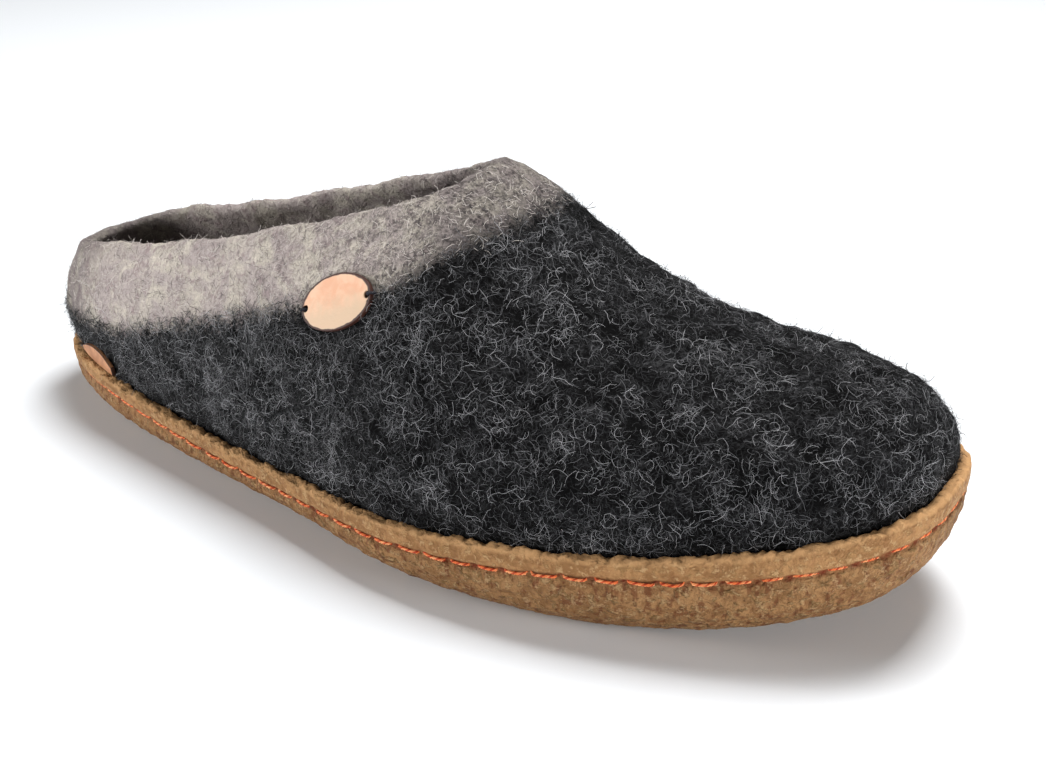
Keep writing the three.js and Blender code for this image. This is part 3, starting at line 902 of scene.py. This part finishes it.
@dataclass
class RunningStitch:
    """The orange running stitch in the sole's groove, sunk deeper at the heel and at the toe."""

    wall: SoleWall
    # The plies take a lit and a shaded copy of the thread's orange in turn: painted highlight and painted
    # shade that show the twist.
    bright: ThreadFinish = ThreadFinish("stitch_painted_lit_ply", screen(238, 120, 62), screen(255, 178, 120))
    painted_shade: ThreadFinish = ThreadFinish("stitch_painted_shaded_ply", screen(176, 52, 22), screen(214, 88, 44))
    seen: float = 6.1 * MM
    radius: float = 0.42 * MM
    sunk: float = 0.8 * MM
    flatness: float = 0.3
    heel: tuple[float, float] = (-112 * MM, -42 * MM)
    toe: tuple[float, float] = (95 * MM, 128 * MM)
    proud: float = 0.3 * MM
    heel_proud: float = -0.62 * MM
    toe_proud: float = -0.12 * MM
    slant: float = 0.4 * MM
    wander: float = 0.3 * MM
    turns: float = 3.0
    steps: int = 16
    seed: int = 11

    def build(self) -> bpy.types.Object:
        """Lays every stitch along the seam as one piece."""
        draw = np.random.default_rng(self.seed)
        thread = TwistedThread(self.radius, self.turns, self.steps)
        strands = []
        for i in range(self.wall.stitches):
            middle = (i + 0.5) * self.wall.length / self.wall.stitches + draw.uniform(-1, 1) * self.wander
            length = self.seen * draw.uniform(0.84, 1.1)
            lean = self.slant * draw.uniform(-0.2, 1.2)
            strands.append(self._bent(thread.pattern, middle, length, lean, draw.uniform(0, 2 * math.pi)))
        # plies alternate between the lit and the shaded copy: painted highlight and painted shade
        piece = thread.joined("running_stitch", strands, self.bright.material(), self.painted_shade.material())
        present(piece, piece.data.materials[0], "crepe_rubber")
        return piece

    def _standing(self, x: float) -> float:
        """Says how far a stitch stands out of the wall at a place along the shoe."""
        height = self.heel_proud + (self.proud - self.heel_proud) * float(ramp(x, *self.heel))
        return height + (self.toe_proud - self.proud) * float(ramp(x, *self.toe))

    def _bent(
        self, pattern: np.ndarray, middle: float, length: float, lean: float, spin: float
    ) -> list[Vector]:
        """Lays one strand on the seam, with both ends sunk in the rubber.

        Args:
            pattern: The strand's points.
            middle: The stitch's middle, as a distance along the seam.
            length: Its visible length.
            lean: How far its ends stand off the seam's line, one up and one down.
            spin: How far its twist is turned.

        Returns:
            The stitch's points.
        """
        turn = Matrix.Rotation(spin, 3, "X")
        proud = self._standing(self.wall.seam_at(middle).point.x)
        laid = []
        for row in pattern:
            local = turn @ Vector((0, row[1], row[2]))
            share = row[0] - 0.5
            distance = middle + share * length
            spot = self.wall.seam_at(distance)
            up = spot.out.cross(self.wall.seam_way(distance)).normalized()
            if up.z < 0:
                up = -up
            arch = max(0.0, math.cos(math.pi * share)) ** self.flatness
            height = -self.sunk + (self.sunk + proud) * arch
            laid.append(spot.point + spot.out * (height + local.y) + up * (local.z - 2 * share * lean))
        return laid


@dataclass(frozen=True)
class Crease:
    """A soft trough in the felt between two points, with a low ridge on both sides."""

    start: tuple[float, float, float]
    end: tuple[float, float, float]
    width: float
    depth: float

    def press(self, points: np.ndarray) -> np.ndarray:
        """Says how far each point sinks, in metres."""
        a, b = np.array(self.start) * MM, np.array(self.end) * MM
        along = np.clip((points - a) @ (b - a) / ((b - a) @ (b - a)), 0, 1)
        away = np.linalg.norm(points - a - along[:, None] * (b - a), axis=1) / (self.width * MM)
        fade = 0.35 + 0.65 * np.sin(np.pi * along)
        trough = np.exp(-(away**2))
        ridge = 0.35 * np.exp(-((away - 1.9) ** 2) / 0.5)
        return self.depth * MM * fade * (trough - ridge)


@dataclass
class FeltUpper:
    """The felt upper, evened out, with its creases, lumps and the border of its light collar."""

    finish: WoolFinish = WoolFinish()
    cell: float = 1.35 * MM
    smoothing: int = 8
    middle_height: float = 30 * MM
    middle_start: float = -95 * MM
    middle_end: float = 85 * MM
    border: tuple[tuple[float, float], ...] = (
        (-142, 27), (-99, 34), (-74, 43), (-48, 53), (-24, 62), (3, 73), (17, 83), (26, 88), (34, 90),
    )
    creases: tuple[Crease, ...] = (
        Crease((-12, -42, 36), (34, -35, 60), 5.0, 0.7),
        Crease((58, -12, 71), (86, -22, 57), 6.5, 0.8),
        Crease((94, -14, 59), (122, -15, 48), 5.5, 0.7),
        Crease((50, 22, 72), (80, 34, 56), 7.0, 0.8),
        Crease((-30, -28, 71), (10, -20, 90), 3.2, 0.6),
        Crease((-25, 26, 72), (8, 20, 90), 3.2, 0.5),
        Crease((-100, -27, 30), (-62, -33, 34), 5.5, 0.6),
    )
    collar: tuple[tuple[float, float], ...] = (
        (-142, 47.2), (-113, 55.3), (-71, 67), (-34, 79.7), (-5.7, 90.4), (17, 102), (18, 140),
    )
    front: tuple[float, float] = (-55, 26)
    throat: tuple[float, float] = (-5, 24)
    lip_span: tuple[float, float] = (1, 6)
    depth: tuple[float, float] = (4, 22)
    lip: float = 0.5 * MM
    lip_height: float = 5
    broad: float = 1.0 * MM
    medium: float = 1.0 * MM
    fine: float = 0.6 * MM
    broad_lump: float = 17 * MM
    medium_lump: float = 6 * MM
    fine_lump: float = 2.6 * MM
    calm: float = 0.55

    def build(self) -> bpy.types.Object:
        """Makes the upper and dresses it."""
        piece = merged_copy("upper", "felt_upper")
        evened(piece, self.cell, self.smoothing)
        mesh = piece.data
        points, normals = points_of(mesh), normals_of(mesh)
        inside = self._inside(points, normals)
        outer = 1 - inside
        sink = sum(crease.press(points) for crease in self.creases) * outer
        dark = 1 - self.calm * ramp(self.above_border(points), -2.0, 2.0)
        rise = lumps(points, self.broad_lump, seed=1.0) * self.broad * outer
        rise += lumps(points, self.medium_lump, seed=2.0) * self.medium * dark
        rise += lumps(points, self.fine_lump, seed=4.0) * self.fine * dark
        below = self.below_collar(points)
        rise += (1 - ramp(below, 0.0, self.lip_height)) * self.lip
        points += normals * (rise - sink)[:, None]
        move_points(mesh, points)
        note(mesh, "band", self.above_border(points))
        note(mesh, "inside", inside)
        # mask of the wool's painted shade inside, growing with depth below the collar's edge
        note(mesh, "painted_shade", inside * ramp(below, *self.depth))
        note(mesh, "front", ramp(points[:, 0] / MM, *self.front))
        # mask of the throat's darkening, partly painted shade
        note(mesh, "throat", ramp(points[:, 0] / MM, *self.throat))
        # mask of the painted shade on the collar's top edge
        note(mesh, "lip", 1 - ramp(below, *self.lip_span))
        present(piece, self.finish.material(), "wool_felt", "upper")
        return piece

    def above_border(self, points: np.ndarray) -> np.ndarray:
        """Says how far each point is above the border of light and dark wool, in millimetres."""
        places, heights = np.array(self.border).T
        return points[:, 2] / MM - np.interp(points[:, 0] / MM, places, heights)

    def below_collar(self, points: np.ndarray) -> np.ndarray:
        """Says how far each point is below the collar's edge, in millimetres."""
        places, heights = np.array(self.collar).T
        return np.interp(points[:, 0] / MM, places, heights) - points[:, 2] / MM

    def _inside(self, points: np.ndarray, normals: np.ndarray) -> np.ndarray:
        """Says which points face the foot: 1 inside, 0 outside."""
        middle = np.zeros_like(points)
        middle[:, 0] = np.clip(points[:, 0], self.middle_start, self.middle_end)
        middle[:, 2] = self.middle_height
        way = points - middle
        way /= np.linalg.norm(way, axis=1)[:, None]
        return 1 - ramp((way * normals).sum(1), -0.2, 0.2)


class Zone(Enum):
    """The parts of the felt that fibres are laid on."""

    DARK = "dark"
    LIGHT = "light"
    RIM = "rim"


@dataclass(frozen=True)
class Nap:
    """Loose fibres of one shade in one part of the wool, with sizes in millimetres and curl in radians."""

    finish: FibreFinish
    zone: Zone
    count: int
    length: float
    width: float
    lift: float
    curl: float
    clumping: float
    stray: float
    segments: int
    seed: int


@dataclass
class WoolNap:
    """All loose fibres on the felt, as joined ribbons that curl over its surface."""

    felt: bpy.types.Object
    wall: SoleWall
    tag: "SideTag"
    label: "HeelLabel"
    patterns: int = 36
    rim_reach: float = 2.4 * MM
    # fewer dark-zone fibres towards the toe: painted shade on the front, painted light on the heel side
    front_painted_shade_span: tuple[float, float] = (-120 * MM, 60 * MM)
    # fewer dark-zone fibres on upward faces: painted shade on the top
    top_painted_shade: float = 0.3
    top_span: tuple[float, float] = (0.45, 0.9)
    broad_patch: float = 10 * MM
    small_patch: float = 4.5 * MM
    light_span: tuple[float, float] = (-3.0, 2.0)
    dark_span: tuple[float, float] = (-1.5, 4.0)
    patchiness: float = 2.5
    root_depth: float = 0.12 * MM
    naps: tuple[Nap, ...] = (
        Nap(
            FibreFinish("fibre_soot", screen(7, 7, 8)), Zone.DARK,
            count=5000, length=3.6, width=0.16,
            lift=0.8, curl=0.7, clumping=-0.8, stray=0.15, segments=3, seed=21,
        ),
        Nap(
            FibreFinish("fibre_coal", screen(24, 24, 26)), Zone.DARK,
            count=14000, length=3.2, width=0.11,
            lift=0.6, curl=0.7, clumping=0.2, stray=0.12, segments=3, seed=22,
        ),
        Nap(
            FibreFinish("fibre_ash", screen(60, 60, 62)), Zone.DARK,
            count=20000, length=3.0, width=0.075,
            lift=0.5, curl=0.8, clumping=1.1, stray=0.08, segments=3, seed=23,
        ),
        Nap(
            FibreFinish("fibre_silver", screen(126, 126, 129)), Zone.DARK,
            count=16000, length=3.9, width=0.055,
            lift=0.6, curl=0.75, clumping=1.3, stray=0.1, segments=5, seed=24,
        ),
        Nap(
            FibreFinish("fibre_white", screen(196, 196, 199)), Zone.DARK,
            count=4000, length=4.6, width=0.05,
            lift=0.7, curl=0.7, clumping=1.5, stray=0.12, segments=5, seed=25,
        ),
        Nap(
            FibreFinish("fibre_cream", screen(212, 204, 197)), Zone.LIGHT,
            count=8000, length=2.6, width=0.08,
            lift=0.14, curl=0.7, clumping=0.5, stray=0.04, segments=3, seed=26,
        ),
        Nap(
            FibreFinish("fibre_slate", screen(96, 90, 89)), Zone.LIGHT,
            count=9000, length=2.4, width=0.08,
            lift=0.14, curl=0.7, clumping=0.9, stray=0.03, segments=3, seed=27,
        ),
        Nap(
            FibreFinish("fibre_rim", screen(24, 24, 26)), Zone.RIM,
            count=2600, length=2.0, width=0.13,
            lift=0.5, curl=0.7, clumping=0.0, stray=0.4, segments=3, seed=28,
        ),
    )

    def build(self) -> list[bpy.types.Object]:
        """Makes one piece of fibres for each shade."""
        mesh = self.felt.data
        mesh.calc_loop_triangles()
        corners = np.empty(len(mesh.loop_triangles) * 3, np.int32)
        mesh.loop_triangles.foreach_get("vertices", corners)
        self.corners = corners.reshape(-1, 3)
        self.points, self.normals = points_of(mesh), normals_of(mesh)
        trio = self.points[self.corners]
        self.middles = trio.mean(1)
        self.areas = np.linalg.norm(np.cross(trio[:, 1] - trio[:, 0], trio[:, 2] - trio[:, 0]), axis=1) / 2
        self.band = self._of_faces("band")
        self.inside = self._of_faces("inside")
        self.forward = ramp(self.middles[:, 0], *self.front_painted_shade_span)
        self.facing_up = ramp(self.normals[self.corners].mean(1)[:, 2], *self.top_span)
        self.above_rim = -self.wall.drops(self.middles)
        self.free = self.above_rim > 0
        self.free &= ~self.tag.covers(self.middles) & ~self.label.covers(self.middles)
        broad = lumps(self.middles, self.broad_patch, seed=13.0)
        self.patches = broad + 0.7 * lumps(self.middles, self.small_patch, seed=17.0)
        return [self._lay(nap) for nap in self.naps]

    def _of_faces(self, name: str) -> np.ndarray:
        """Reads an attribute of the felt's points as its triangles' means."""
        values = np.empty(len(self.felt.data.vertices), np.float32)
        self.felt.data.attributes[name].data.foreach_get("value", values)
        return values[self.corners].mean(1)

    def _chances(self, nap: Nap) -> np.ndarray:
        """Says how likely each triangle is to hold a fibre of a nap."""
        edge = self.band + self.patchiness * self.patches
        if nap.zone is Zone.LIGHT:
            share = ramp(edge, *self.light_span) * (1 - 0.65 * self.inside)
        else:
            share = (1 - ramp(edge, *self.dark_span)) * (1 - self.inside)
            # painted shade on the front and on the top: fewer fibres towards the toe and on upward faces
            share = share * (1.35 - 0.8 * self.forward) * (1 - self.top_painted_shade * self.facing_up)
        if nap.zone is Zone.RIM:
            share = share * (self.above_rim < self.rim_reach)
        share = share * np.exp(nap.clumping * self.patches)
        chance = share * self.areas * self.free
        return chance / chance.sum()

    def _ribbons(self, nap: Nap, draw: np.random.Generator) -> np.ndarray:
        """Makes a set of curled ribbons of about unit length, each from an edge that grows step by step.

        Args:
            nap: The fibres that they are for.
            draw: The random numbers.

        Returns:
            Their points, by ribbon and by station.
        """
        made = []
        for _ in range(self.patterns):
            work = bmesh.new()
            half = nap.width / nap.length / 2
            ends = [work.verts.new((0, side * half, 0)) for side in (-1, 1)]
            edge = work.edges.new(ends)
            heading, bend = 0.0, draw.uniform(-1, 1) * nap.curl
            tip = Vector((0, 0, 0))
            rows = [[vert.co.copy() for vert in ends]]
            for step in range(nap.segments):
                grown = bmesh.ops.extrude_edge_only(work, edges=[edge])["geom"]
                ends = [part for part in grown if isinstance(part, bmesh.types.BMVert)]
                edge = next(part for part in grown if isinstance(part, bmesh.types.BMEdge))
                turn = bend + draw.uniform(-1, 1) * nap.curl * 0.7
                heading += turn
                move = Vector((math.cos(heading), math.sin(heading), 0)) / nap.segments
                bmesh.ops.rotate(work, verts=ends, cent=tip, matrix=Matrix.Rotation(turn, 3, "Z"))
                bmesh.ops.translate(work, verts=ends, vec=move)
                tip += move
                rows.append([vert.co.copy() for vert in ends])
            work.free()
            made.append(np.array([[list(point) for point in row] for row in rows]))
        return np.array(made)

    def _lay(self, nap: Nap) -> bpy.types.Object:
        """Lays the fibres of one nap on the felt.

        Args:
            nap: The fibres.

        Returns:
            The piece that holds them all.
        """
        draw = np.random.default_rng(nap.seed)
        ribbons = self._ribbons(nap, draw)
        spots = draw.choice(len(self.areas), nap.count, p=self._chances(nap))
        weights = draw.dirichlet((1, 1, 1), nap.count)[:, :, None]
        roots = (self.points[self.corners[spots]] * weights).sum(1)
        ups = (self.normals[self.corners[spots]] * weights).sum(1)
        ups /= np.linalg.norm(ups, axis=1)[:, None]
        ways = np.cross(ups, draw.normal(size=(nap.count, 3)))
        ways /= np.linalg.norm(ways, axis=1)[:, None]
        sides = np.cross(ups, ways)
        length = nap.length * MM * draw.uniform(0.55, 1.3, nap.count)
        shapes = ribbons[draw.integers(0, self.patterns, nap.count)]
        shapes = shapes * length[:, None, None, None]
        share = np.linspace(0, 1, nap.segments + 1)
        stray = draw.random(nap.count) < nap.stray
        arch = np.sin(np.pi * (0.08 + 0.84 * share))[None, :] * draw.uniform(0.3, 1.3, (nap.count, 1))
        rise = share[None, :] ** 1.4 * draw.uniform(1.2, 3.2, (nap.count, 1))
        lift = np.where(stray[:, None], rise, arch) * nap.lift * MM - self.root_depth
        roll = draw.uniform(-0.5, 0.5, (nap.count, 1, 1)) * shapes[..., 1]
        height = lift[:, :, None] + roll
        points = (
            roots[:, None, None, :]
            + ways[:, None, None, :] * shapes[..., 0:1]
            + sides[:, None, None, :] * shapes[..., 1:2]
            + ups[:, None, None, :] * height[..., None]
        )
        return self._joined(nap, points)

    def _joined(self, nap: Nap, points: np.ndarray) -> bpy.types.Object:
        """Joins ribbons into one piece.

        Args:
            nap: The fibres.
            points: Their points, by fibre, station and side.

        Returns:
            The piece.
        """
        stations = nap.segments + 1
        first = np.arange(nap.count)[:, None] * stations * 2 + np.arange(nap.segments)[None, :] * 2
        quads = np.stack([first, first + 1, first + 3, first + 2], axis=-1).reshape(-1, 4)
        mesh = bpy.data.meshes.new(nap.finish.name)
        mesh.vertices.add(nap.count * stations * 2)
        mesh.vertices.foreach_set("co", points.astype(np.float32).ravel())
        mesh.loops.add(quads.size)
        mesh.loops.foreach_set("vertex_index", quads.astype(np.int32).ravel())
        mesh.polygons.add(len(quads))
        mesh.polygons.foreach_set("loop_start", np.arange(0, quads.size, 4, dtype=np.int32))
        mesh.update(calc_edges=True)
        piece = bpy.data.objects.new(nap.finish.name, mesh)
        bpy.context.scene.collection.objects.link(piece)
        present(piece, nap.finish.material(), "wool_felt")
        return piece


@dataclass
class Footbed:
    """The pressed felt insole."""

    finish: FootbedFinish = FootbedFinish()
    cell: float = 2.0 * MM
    smoothing: int = 4
    wave: float = 0.2 * MM
    wave_length: float = 9 * MM

    def build(self) -> bpy.types.Object:
        """Makes the footbed and dresses it."""
        piece = merged_copy("insole", "footbed")
        evened(piece, self.cell, self.smoothing)
        points, normals = points_of(piece.data), normals_of(piece.data)
        points += normals * (lumps(points, self.wave_length, seed=7.0) * self.wave)[:, None]
        move_points(piece.data, points)
        present(piece, self.finish.material(), "footbed_felt", "insole")
        return piece


@dataclass
class SideTag:
    """The oval leather tag with its burnt edge, and the dark thread that holds it."""

    leather: LeatherFinish = LeatherFinish("tag_leather", screen(238, 192, 158), screen(232, 174, 138))
    lower: Colour = screen(216, 184, 152)
    burnt: Colour = screen(62, 30, 20)
    thread: ThreadFinish = ThreadFinish("tag_thread", screen(22, 22, 32), screen(48, 48, 60))
    round: float = 0.2 * MM
    rim_share: float = 0.95
    flat: float = 0.98
    hole_place: float = 11.2 * MM
    thread_radius: float = 0.4 * MM
    thread_turns: float = 1.8
    thread_steps: int = 18
    sharp_angle: float = math.radians(60)
    same_angle: float = math.radians(1)
    smudge: float = 2.2 * MM
    margin: float = 1.02
    look_ahead: float = 0.04

    def __post_init__(self) -> None:
        """Finds the tag's middle, its long way, its width and the way out of its face."""
        points = points_of(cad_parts["side_tag"].data)
        centre = points.mean(0)
        _, spread, ways = np.linalg.svd(points - centre, full_matrices=False)
        long, out = Vector(ways[0]), Vector(ways[2])
        self.long = (long if long.x > 0 else -long).normalized()
        self.out = (out if out.y < 0 else -out).normalized()
        self.up = self.out.cross(self.long).normalized()
        local = (points - centre) @ np.array([self.long, self.up, self.out]).T
        self.half = Vector((local.max(0) - local.min(0)) / 2)
        shift = (local.max(0) + local.min(0)) / 2
        self.middle = Vector(centre) + self.long * shift[0] + self.up * shift[1] + self.out * shift[2]

    def build(self) -> bpy.types.Object:
        """Makes the tag and dresses it."""
        piece = merged_copy("side_tag", "oval_tag")
        work = bmesh.new()
        work.from_mesh(piece.data)
        bmesh.ops.dissolve_limit(
            work, angle_limit=self.same_angle, verts=work.verts, edges=work.edges, delimit={"NORMAL"}
        )
        sharp = [edge for edge in work.edges if edge.calc_face_angle(0) > self.sharp_angle]
        reach = self._reach(np.array([(edge.verts[0].co + edge.verts[1].co) / 2 for edge in sharp]))
        outer = [edge for edge, far in zip(sharp, reach) if far > self.rim_share]
        bmesh.ops.bevel(
            work, geom=outer, offset=self.round, offset_type="OFFSET", affect="EDGES", segments=3,
            profile=0.5, material=-1,
        )
        for face in work.faces:
            face.smooth = abs(face.normal.dot(self.out)) < self.flat
        bmesh.ops.triangulate(work, faces=[face for face in work.faces if len(face.verts) > 4])
        work.to_mesh(piece.data)
        work.free()
        present(piece, self._material(), "tag_leather", "side_tag")
        self._threads()
        return piece

    def covers(self, points: np.ndarray) -> np.ndarray:
        """Says which points of the felt lie behind the tag."""
        depth = (points - np.array(self.middle)) @ np.array(self.out)
        return (self._reach(points) < self.margin) & (np.abs(depth) < self.half.y)

    def _reach(self, points: np.ndarray) -> np.ndarray:
        """Says how far out each point is along the tag's face: 0 in its middle, 1 at its rim."""
        local = (points - np.array(self.middle)) @ np.array([self.long, self.up]).T
        return np.hypot(local[:, 0] / self.half.x, local[:, 1] / self.half.y)

    def _material(self) -> bpy.types.Material:
        """Builds the leather with its gradient and burnt edge, in the tag's own directions."""
        made, face = self.leather.start()
        turn = Matrix((self.long, self.up, self.out)).transposed().to_euler()
        local = made.node(
            "ShaderNodeMapping",
            {"vector_type": "TEXTURE"},
            {"Vector": made.place, "Location": self.middle, "Rotation": turn, "Scale": self.half},
        )
        parts = [made.node("ShaderNodeSeparateXYZ", values={0: local}, output=i) for i in range(3)]
        smudge = made.noise(self.smudge, detail=3.0)
        face = made.blend(made.step(parts[1] + (smudge - 0.5) * 0.8, 0.5, -0.6), face, self.lower)
        radius = (parts[0] ** 2.0 + parts[1] ** 2.0) ** 0.5
        rim = made.step(radius + (smudge - 0.5) * 0.08, 0.9, 0.955)
        lower_rim = made.step(parts[2], 0.55, 0.2)
        edge = made.step(rim + lower_rim, 0.1, 0.9)
        made.vary("Base Color", made.blend(edge, face, self.burnt))
        return made.material

    def _threads(self) -> None:
        """Passes a thread from each hole over the tag's rim into the felt."""
        strand = TwistedThread(self.thread_radius, self.thread_turns, self.thread_steps)
        over = self.half.z + self.thread_radius
        strands = []
        for side in (-1, 1):
            way = self.long * side
            hole = self.middle + way * self.hole_place
            rim = self.middle + way * self.half.x
            route = [
                hole - self.out * self.half.z * 2.4,
                hole + self.out * self.half.z * 0.4,
                hole + self.out * over + way * 0.6 * MM,
                rim + self.out * over * 0.9,
                rim + way * 0.8 * MM - self.out * self.half.z * 0.6,
                rim + way * 0.5 * MM - self.out * self.half.z * 3,
            ]
            strands.append(self._along(strand.pattern, route))
        piece = strand.joined("tag_thread", strands, self.thread.material())
        present(piece, piece.data.materials[0], "tag_leather")

    def _along(self, pattern: np.ndarray, route: list[Vector]) -> list[Vector]:
        """Bends a strand along a route in the plane of the tag's long way and its way out.

        Args:
            pattern: The strand's points.
            route: The route's corners.

        Returns:
            The bent strand's points.
        """
        lengths = np.concatenate([[0.0], np.cumsum([(b - a).length for a, b in zip(route, route[1:])])])
        corners = np.array(route)

        def spot(share: float) -> Vector:
            """Gives the place at a share of the route."""
            place = min(1.0, max(0.0, share)) * lengths[-1]
            return Vector([np.interp(place, lengths, corners[:, axis]) for axis in range(3)])

        laid = []
        for share, across, off in pattern:
            way = (spot(share + self.look_ahead) - spot(share - self.look_ahead)).normalized()
            laid.append(spot(share) + self.up * across + way.cross(self.up) * off)
        return laid


@dataclass
class HeelLabel:
    """The small leather label between the sole's rim and the felt."""

    leather: LeatherFinish = LeatherFinish("label_leather", screen(186, 132, 92), screen(158, 104, 68))
    edge: LeatherFinish = LeatherFinish("label_edge", screen(74, 44, 30), screen(52, 32, 24))
    round: float = 0.2 * MM
    sharp_angle: float = math.radians(60)
    side_share: float = 0.8
    margin: float = 0.8 * MM

    def covers(self, points: np.ndarray) -> np.ndarray:
        """Says which points of the felt lie behind the label."""
        low, high = (np.array(corner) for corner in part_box("heel_tab"))
        return ((points > low - self.margin) & (points < high + self.margin)).all(1)

    def build(self) -> bpy.types.Object:
        """Makes the label and dresses it, with its cut edges dark."""
        piece = merged_copy("heel_tab", "heel_label")
        work = bmesh.new()
        work.from_mesh(piece.data)
        sharp = [edge for edge in work.edges if edge.calc_face_angle(0) > self.sharp_angle]
        made = bmesh.ops.bevel(
            work, geom=sharp, offset=self.round, offset_type="OFFSET", affect="EDGES", segments=2,
            profile=0.5, material=-1,
        )
        widest = sorted(work.faces, key=lambda face: face.calc_area())[len(work.faces) // 2].calc_area()
        for face in made["faces"]:
            face.material_index = 1
        for face in work.faces:
            if face.calc_area() < widest * self.side_share:
                face.material_index = 1
        bmesh.ops.subdivide_edges(work, edges=work.edges, cuts=1, use_grid_fill=True, smooth=0.6)
        work.to_mesh(piece.data)
        work.free()
        piece.data.materials.append(self.leather.material())
        piece.data.materials.append(self.edge.material())
        for face in piece.data.polygons:
            face.use_smooth = True
        present(piece, piece.data.materials[0], "label_leather", "heel_tab")
        return piece


@dataclass(frozen=True)
class Softbox:
    """One square studio light that faces the shoe."""

    name: str
    azimuth: float
    elevation: float
    distance: float
    side: float
    power: float


@dataclass
class Studio:
    """The camera at the photo's angle, the lights and the floor."""

    azimuth: float = 31.99
    elevation: float = 27.65
    distance: float = 0.5
    focal_pixels: float = 1667.9
    photo_width: float = 1046
    target: tuple[float, float, float] = (0.6, 37.7, 12.9)
    sensor: float = 36
    aim: Vector = Vector((0, 0, 0.04))
    floor_side: float = 6.0
    floor_colour: Colour = (0.91, 0.935, 0.96, 1.0)
    sky: Colour = (1.0, 1.0, 1.0, 1.0)
    sky_strength: float = 0.05
    lights: tuple[Softbox, ...] = (
        Softbox("back_light", 176, 70, 0.9, 0.46, 11.1),
        Softbox("left_light", -60, 9, 0.9, 0.3, 5.2),
        Softbox("right_light", 90, 9, 0.9, 0.3, 4.2),
        Softbox("front_light", 24, 9, 0.9, 0.3, 2.4),
    )

    @staticmethod
    def _back(azimuth: float, elevation: float) -> Vector:
        """Gives the way from the shoe to a viewer, for angles in degrees."""
        a, e = math.radians(azimuth), math.radians(elevation)
        return Vector((math.sin(a) * math.cos(e), -math.cos(a) * math.cos(e), math.sin(e)))

    def build(self) -> None:
        """Sets up the whole studio."""
        self._camera()
        for light in self.lights:
            self._softbox(light)
        self._floor()
        world = bpy.data.worlds.new("studio")
        world.use_nodes = True
        background = world.node_tree.nodes["Background"]
        background.inputs["Color"].default_value = self.sky
        background.inputs["Strength"].default_value = self.sky_strength
        bpy.context.scene.world = world
        bpy.context.scene.view_settings.view_transform = "Standard"

    def _camera(self) -> None:
        """Places the camera that the photo was taken with."""
        lens = bpy.data.cameras.new("photo_camera")
        lens.sensor_width = self.sensor
        lens.lens = self.focal_pixels / self.photo_width * self.sensor
        lens.clip_start = 0.01
        camera = bpy.data.objects.new("photo_camera", lens)
        back = self._back(self.azimuth, self.elevation)
        camera.location = Vector(self.target) * MM + back * self.distance
        camera.rotation_euler = (-back).to_track_quat("-Z", "Y").to_euler()
        bpy.context.scene.collection.objects.link(camera)
        bpy.context.scene.camera = camera

    def _softbox(self, light: Softbox) -> None:
        """Hangs one light."""
        data = bpy.data.lights.new(light.name, "AREA")
        data.shape = "SQUARE"
        data.size = light.side
        data.energy = light.power
        lamp = bpy.data.objects.new(light.name, data)
        back = self._back(light.azimuth, light.elevation)
        lamp.location = self.aim + back * light.distance
        lamp.rotation_euler = (-back).to_track_quat("-Z", "Y").to_euler()
        bpy.context.scene.collection.objects.link(lamp)

    def _floor(self) -> None:
        """Lays the pale floor under the sole."""
        work = bmesh.new()
        bmesh.ops.create_grid(work, x_segments=1, y_segments=1, size=self.floor_side / 2)
        floor = as_piece(work, "studio_floor", smooth=False)
        paper = Recipe("floor_paper", base_color=self.floor_colour, roughness=1.0, specular_ior_level=0.0)
        floor.data.materials.append(paper.material)


def main() -> None:
    """Builds the studio and the slipper, piece by piece."""
    logging.basicConfig(level=logging.INFO, format="%(message)s")
    Studio().build()
    wall = SoleWall()
    LOG.info("seam: %.0f mm round the sole", wall.length / MM)
    CrepeSole(wall).build()
    RunningStitch(wall).build()
    Footbed().build()
    felt = FeltUpper().build()
    tag = SideTag()
    tag.build()
    label = HeelLabel()
    label.build()
    WoolNap(felt, wall, tag, label).build()


if __name__ == "__main__":
    main()
